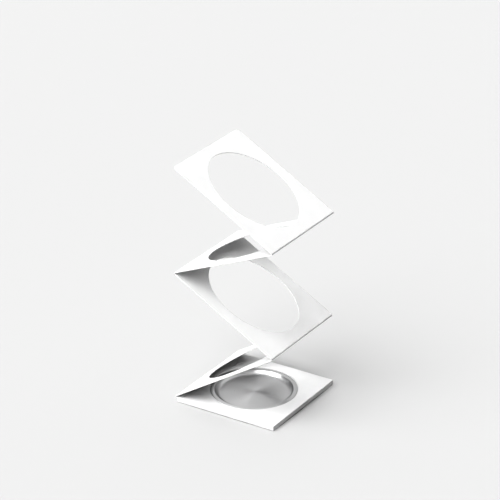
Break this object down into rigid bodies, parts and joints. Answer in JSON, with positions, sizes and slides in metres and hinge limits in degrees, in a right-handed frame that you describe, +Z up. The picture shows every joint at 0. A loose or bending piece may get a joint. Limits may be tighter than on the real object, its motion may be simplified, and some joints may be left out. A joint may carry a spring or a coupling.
{
  "type": "umbrella stand",
  "caption": "Umbrella stand folded from one steel sheet in a zigzag, a round hole in each sloping panel, on a square ballast base with a lift-out round drip tray.",
  "frame": {"origin": "on the ground, under the middle of the square base", "axes": "+Z up; +X from the two left-hand folds towards the base's free edge; every fold runs along Y, and the stand is the same on both sides of the XZ plane"},
  "size_m": [0.25, 0.25, 0.5569],
  "materials": {
    "white_powder_coat": "fine satin powder coat on steel",
    "white_plate": "fine satin powder coat on steel plate",
    "stainless": "stainless steel with fine turned rings",
    "zinc": "bright zinc plating",
    "black_rubber": "matt moulded rubber"
  },
  "bodies": {
    "stand": {"folded_body": "white_powder_coat", "base_plate": "white_plate", "stud_front_left": "zinc", "stud_front_right": "zinc", "stud_back_left": "zinc", "stud_back_right": "zinc", "washer_front_left": "zinc", "washer_front_right": "zinc", "washer_back_left": "zinc", "washer_back_right": "zinc", "nut_front_left": "zinc", "nut_front_right": "zinc", "nut_back_left": "zinc", "nut_back_right": "zinc", "foot_front_left": "black_rubber", "foot_front_right": "black_rubber", "foot_back_left": "black_rubber", "foot_back_right": "black_rubber"},
    "tray": {"drip_tray": "stainless"}
  },
  "joints": [
    {"name": "tray_lift", "type": "slide", "parent": "stand", "child": "tray", "axis": [0, 0, 1], "range_m": [0, 0.575]}
  ]
}
